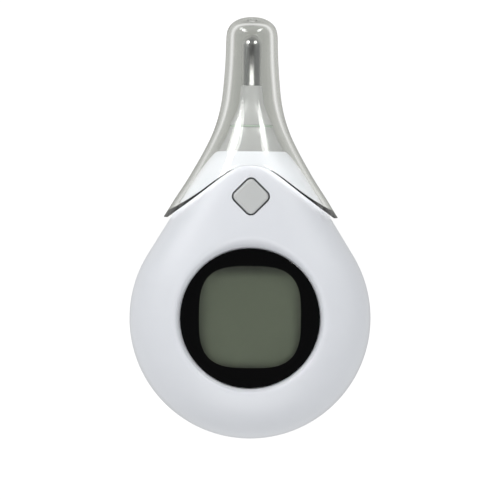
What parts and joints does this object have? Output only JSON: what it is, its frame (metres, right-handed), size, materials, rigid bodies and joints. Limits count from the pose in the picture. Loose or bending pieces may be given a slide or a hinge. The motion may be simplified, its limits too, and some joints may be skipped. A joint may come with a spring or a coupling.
{
  "type": "digital probe thermometer",
  "caption": "Drop-shaped digital thermometer with a round window, a diamond push button, a slim metal contact tip on a flared neck and a clear pull-off probe cap.",
  "frame": {"origin": "on the flat rest face of the back, directly under the centre of the display", "axes": "+Z out of the display, +Y along the body towards the probe tip, +X to the right as the display is read"},
  "size_m": [0.05, 0.0874, 0.0199],
  "materials": {
    "white_casing": "satin, faintly cool white ABS",
    "grey_plastic": "satin light grey ABS",
    "lens_clear": "flat clear window",
    "black_print": "gloss black print behind the window",
    "adhesive": "matt foam tape",
    "lcd_glass": "grey-green reflective display",
    "holder_plastic": "matt white moulding",
    "elastomer": "striped contact rubber",
    "board_green": "solder-masked laminate",
    "epoxy_black": "glob-top resin",
    "chip_parts": "ceramic chips",
    "buzzer_black": "moulded sounder case",
    "silicone": "translucent silicone",
    "switch_black": "moulded switch",
    "seal_green": "pale green-grey seal",
    "stainless": "polished stainless steel",
    "resin": "heat-conducting resin",
    "bead": "glass-coated bead",
    "wire_coat": "enamelled wire",
    "cell_steel": "nickel-plated can",
    "contact_metal": "plated spring strip",
    "screw_steel": "zinc-plated steel",
    "cap_clear": "clear polystyrene, faint warm grey"
  },
  "bodies": {
    "thermometer": {"front_case": "white_casing", "rear_case": "white_casing", "display_lens": "lens_clear", "display_mask": "black_print", "lens_adhesive": "adhesive", "lcd_panel": "lcd_glass", "lcd_holder": "holder_plastic", "zebra_strip": "elastomer", "main_board": "board_green", "controller_blob": "epoxy_black", "small_components": "chip_parts", "piezo_buzzer": "buzzer_black", "button_boot": "silicone", "switch_body": "switch_black", "probe_collar": "grey_plastic", "collar_seal": "seal_green", "tip_holder": "grey_plastic", "probe_tip": "stainless", "tip_filler": "resin", "thermistor": "bead", "lead_wires": "wire_coat", "battery_cell": "cell_steel", "negative_contact": "contact_metal", "positive_contact": "contact_metal", "case_screws": "screw_steel", "board_screws": "screw_steel"},
    "button": {"button_cap": "grey_plastic"},
    "switch": {"switch_plunger": "switch_black"},
    "cap": {"protective_cap": "cap_clear"},
    "door": {"battery_door": "white_casing", "door_seal": "silicone"},
    "captive_screw": {"door_screw": "screw_steel"}
  },
  "joints": [
    {"name": "button_press", "type": "slide", "parent": "thermometer", "child": "button", "axis": [0, 0, -1], "range_m": [0, 0.0005], "stiffness_N_per_m": 2500, "deforming": ["button_boot"]},
    {"name": "switch_press", "type": "slide", "parent": "thermometer", "child": "switch", "axis": [0, 0, -1], "range_m": [0, 0.0005]},
    {"name": "cap_pull", "type": "slide", "parent": "thermometer", "child": "cap", "axis": [0, 1, 0], "range_m": [0, 0.05]},
    {"name": "door_lift", "type": "slide", "parent": "thermometer", "child": "door", "axis": [0, 0, -1], "range_m": [0, 0.02]},
    {"name": "door_screw_turn", "type": "hinge", "parent": "door", "child": "captive_screw", "pos_m": [0, -0.0106, 0.003], "axis": [0, 0, 1], "continuous": true}
  ],
  "couplings": [
    {"joint": "switch_press", "follows": "button_press", "ratio": 1}
  ]
}
